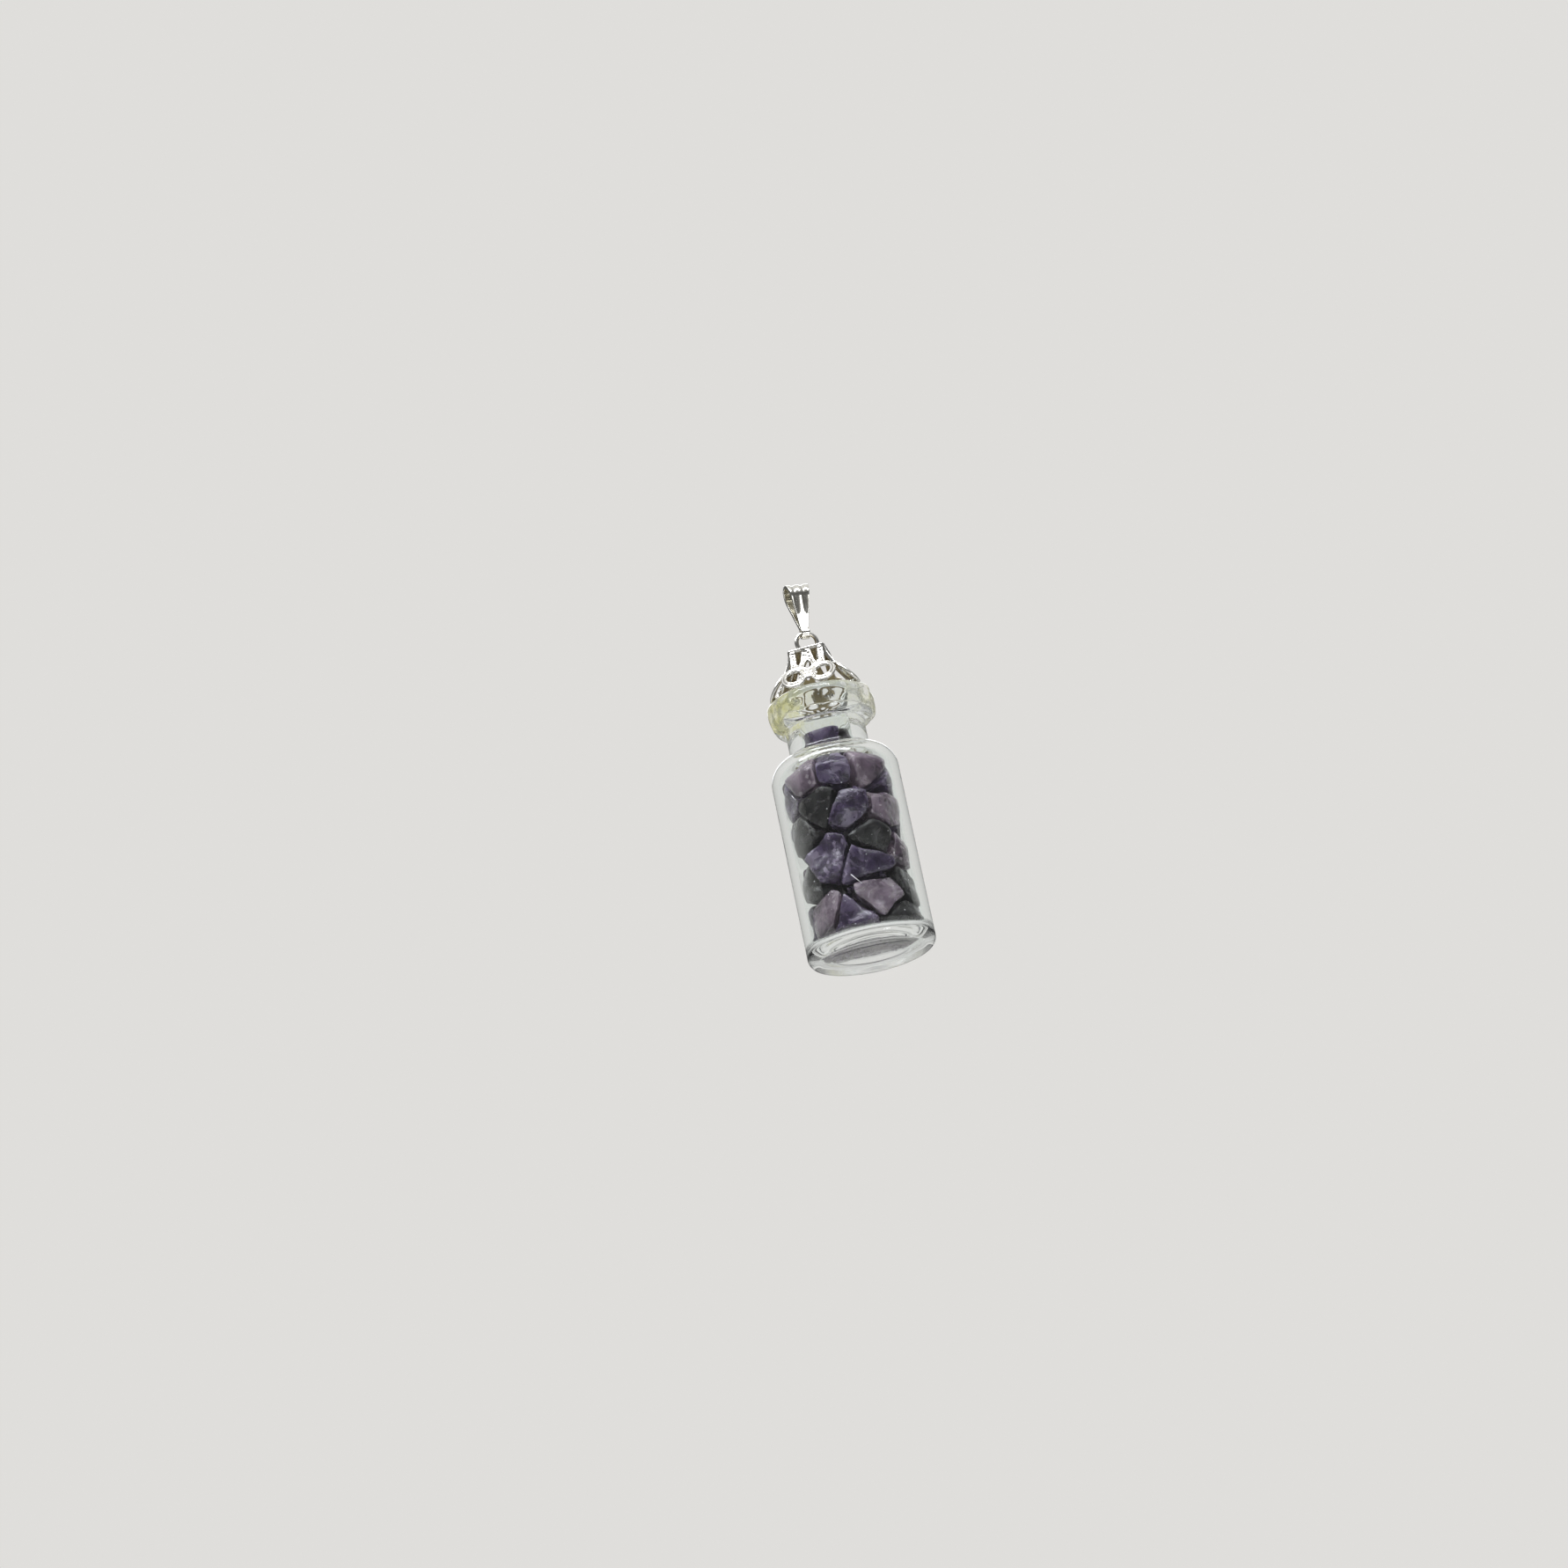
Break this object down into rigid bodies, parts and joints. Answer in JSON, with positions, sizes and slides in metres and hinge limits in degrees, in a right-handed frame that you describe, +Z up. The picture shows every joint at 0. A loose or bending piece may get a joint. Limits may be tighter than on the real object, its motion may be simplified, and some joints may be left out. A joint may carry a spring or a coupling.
{
  "type": "bottle pendant",
  "caption": "Small glass vial filled with amethyst chips under a pierced silver cap, hung by a wire loop from a tapered folded bail.",
  "frame": {"origin": "the chain's seat: the highest point inside the bail's fold, on the pendant's axis", "axes": "+Z up along the pendant's axis, which hangs down from the origin; -Y is the front, where the bail's fluted leaf faces; X runs along the bail's fold, as the chain does"},
  "size_m": [0.016, 0.016, 0.0498],
  "materials": {
    "silver_metal": "bright silver plate, slightly warm, polished on the raised edges and darker in the recesses",
    "clear_glass": "clear blown glass, polished",
    "clear_resin": "clear pale yellow-green resin, glossy and lumpy",
    "amethyst_violet": "tumbled, translucent, glossy",
    "amethyst_lilac": "tumbled, translucent and milky, glossy",
    "amethyst_smoke": "tumbled, nearly black with a green cast, glossy"
  },
  "bodies": {
    "bail": {"bail": "silver_metal"},
    "drop": {"cap": "silver_metal", "bottle": "clear_glass", "resin_seal": "clear_resin", "chip_01": "amethyst_violet", "chip_02": "amethyst_lilac", "chip_03": "amethyst_lilac", "chip_04": "amethyst_violet", "chip_05": "amethyst_violet", "chip_06": "amethyst_smoke", "chip_07": "amethyst_violet", "chip_08": "amethyst_lilac", "chip_09": "amethyst_smoke", "chip_10": "amethyst_smoke", "chip_11": "amethyst_violet", "chip_12": "amethyst_violet", "chip_13": "amethyst_lilac", "chip_14": "amethyst_smoke", "chip_15": "amethyst_lilac", "chip_16": "amethyst_lilac", "chip_17": "amethyst_violet", "chip_18": "amethyst_smoke", "chip_19": "amethyst_smoke", "chip_20": "amethyst_smoke", "chip_21": "amethyst_violet", "chip_22": "amethyst_violet", "chip_23": "amethyst_lilac", "chip_24": "amethyst_violet", "chip_25": "amethyst_lilac", "chip_26": "amethyst_smoke", "chip_27": "amethyst_violet", "chip_28": "amethyst_smoke", "chip_29": "amethyst_violet", "chip_30": "amethyst_lilac", "chip_31": "amethyst_lilac", "chip_32": "amethyst_violet", "chip_33": "amethyst_smoke", "chip_34": "amethyst_violet", "chip_35": "amethyst_smoke", "chip_36": "amethyst_violet", "chip_37": "amethyst_smoke", "chip_38": "amethyst_lilac", "chip_39": "amethyst_violet", "chip_40": "amethyst_smoke", "chip_41": "amethyst_lilac"}
  },
  "joints": [
    {"name": "drop_swing", "type": "hinge", "parent": "bail", "child": "drop", "pos_m": [0, 0, -0.0062], "axis": [1, 0, 0], "range_deg": [-90, 90]}
  ]
}
